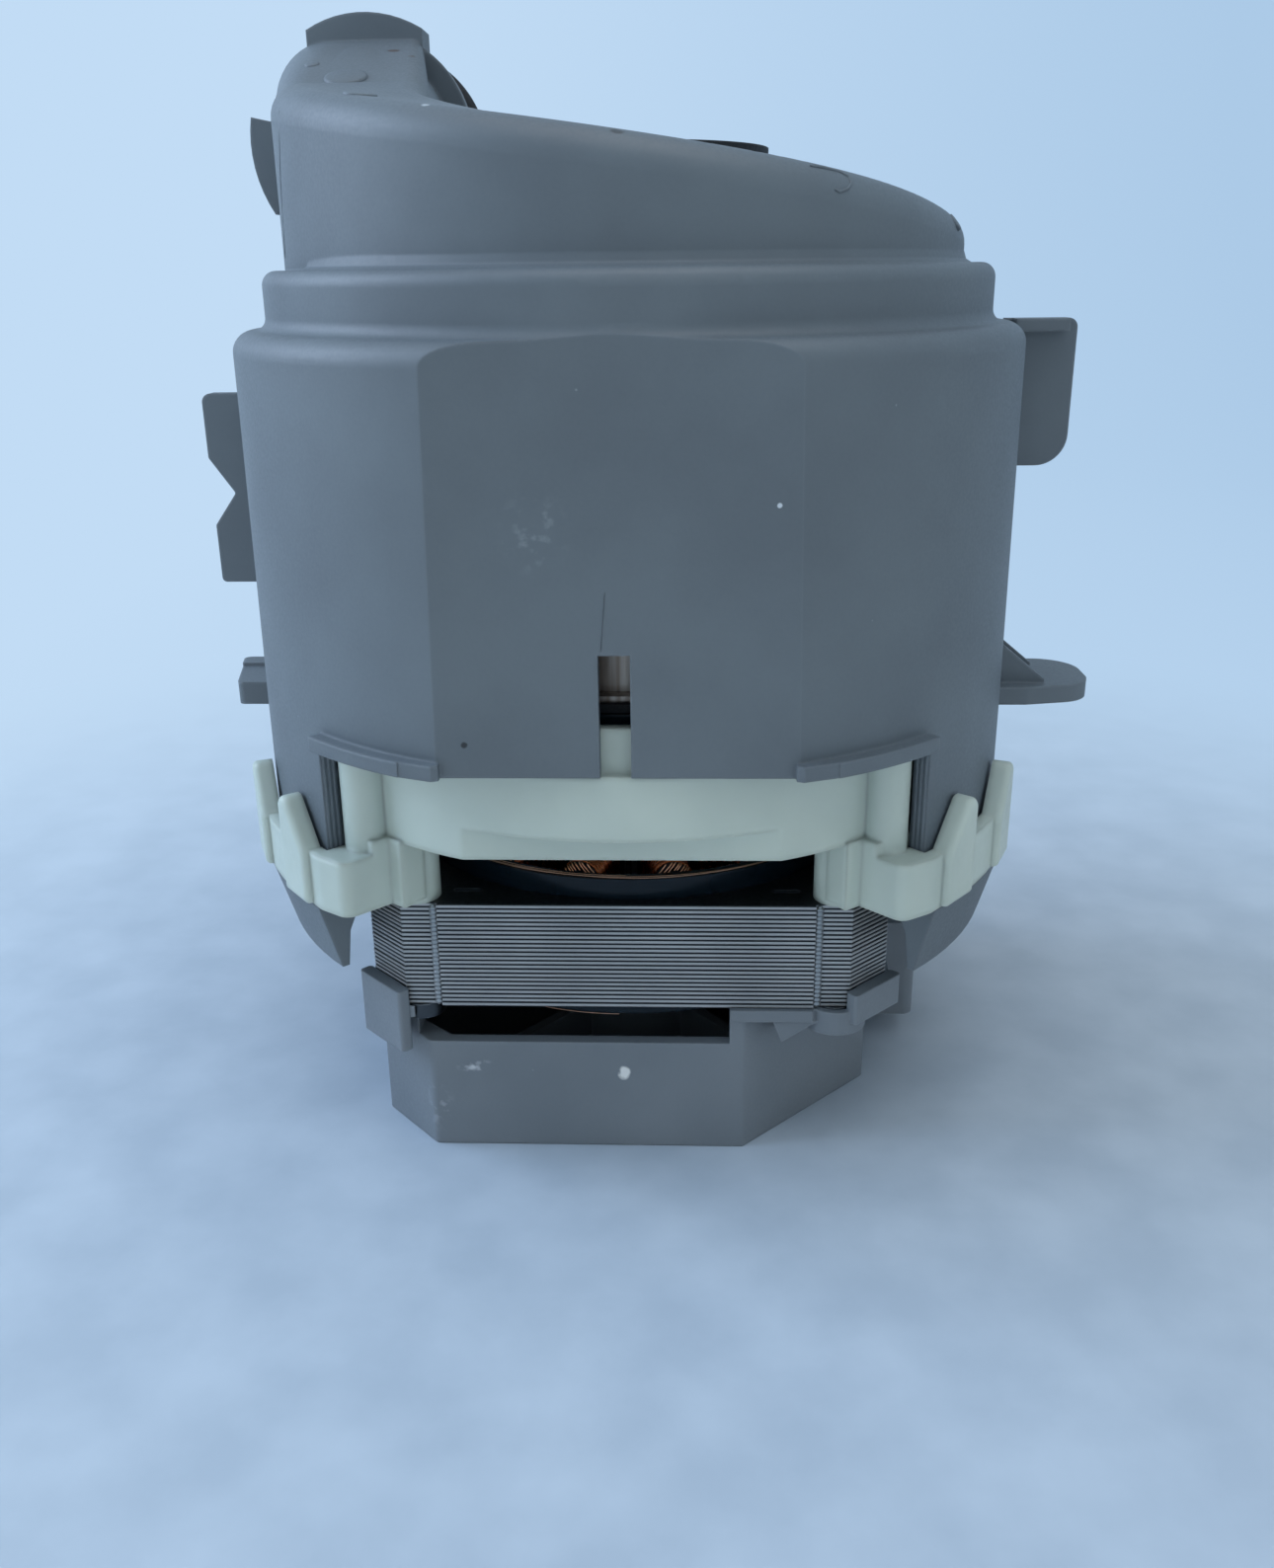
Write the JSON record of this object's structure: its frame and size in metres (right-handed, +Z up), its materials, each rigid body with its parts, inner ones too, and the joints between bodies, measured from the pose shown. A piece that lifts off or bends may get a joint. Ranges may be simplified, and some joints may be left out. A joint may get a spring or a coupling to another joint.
{
  "type": "dishwasher circulation pump",
  "caption": "Dishwasher circulation pump with a flow heater: volute housing, top inlet, side outlet and a motor hung below on a snap-in carrier.",
  "frame": {"origin": "where the shaft axis meets the flat underside of the motor cover", "axes": "+Z up along the shaft towards the inlet, +Y the way the outlet points, -Y the flat front of the housing"},
  "size_m": [0.1497, 0.1248, 0.1749],
  "materials": {
    "grey_plastic": "fine satin moulding",
    "cream_plastic": "milky satin moulding",
    "dark_plastic": "satin moulding",
    "pale_plastic": "satin moulding",
    "black_rubber": "matte",
    "stainless": "rolled sheet",
    "lamination_steel": "stamped electrical sheet",
    "bearing_steel": "ground and polished",
    "zinc_steel": "dark zinc plating",
    "tinned_brass": "tin plated",
    "copper": "enamelled wire",
    "ferrite": "sintered",
    "dark_glaze": "fired glaze",
    "ceramic": "lapped ceramic",
    "carbon": "lapped carbon"
  },
  "bodies": {
    "pump": {"pump_housing": "grey_plastic", "inlet_seal": "black_rubber", "outlet_seal": "black_rubber", "suction_pipe": "pale_plastic", "guide_vanes": "pale_plastic", "heater_tube": "stainless", "heater_film": "dark_glaze", "heater_seal_upper": "black_rubber", "heater_seal_lower": "black_rubber", "heater_terminal_block": "dark_plastic", "heater_terminals": "tinned_brass", "earth_tab": "tinned_brass", "temperature_sensor": "dark_plastic", "thermal_fuse": "dark_plastic", "pump_base": "dark_plastic", "seal_seat": "ceramic", "motor_carrier": "cream_plastic", "upper_bearing_outer_ring": "bearing_steel", "upper_bearing_balls": "bearing_steel", "lower_bearing_outer_ring": "bearing_steel", "lower_bearing_balls": "bearing_steel", "wave_washer": "bearing_steel", "stator_stack": "lamination_steel", "stator_insulator_top": "dark_plastic", "stator_insulator_bottom": "dark_plastic", "stator_coils": "copper", "phase_wires": "copper", "motor_screws": "zinc_steel", "motor_cover": "grey_plastic", "motor_connector": "dark_plastic", "connector_pins": "tinned_brass"},
    "rotor": {"motor_shaft": "stainless", "rotor_core": "lamination_steel", "rotor_magnets": "ferrite", "impeller": "pale_plastic", "impeller_nut": "stainless", "seal_face": "carbon", "seal_bellows": "black_rubber", "shaft_slinger": "black_rubber", "upper_bearing_inner_ring": "bearing_steel", "lower_bearing_inner_ring": "bearing_steel"}
  },
  "joints": [
    {"name": "rotor_spin", "type": "hinge", "parent": "pump", "child": "rotor", "pos_m": [0, 0, 0.03], "axis": [0, 0, 1], "continuous": true}
  ]
}
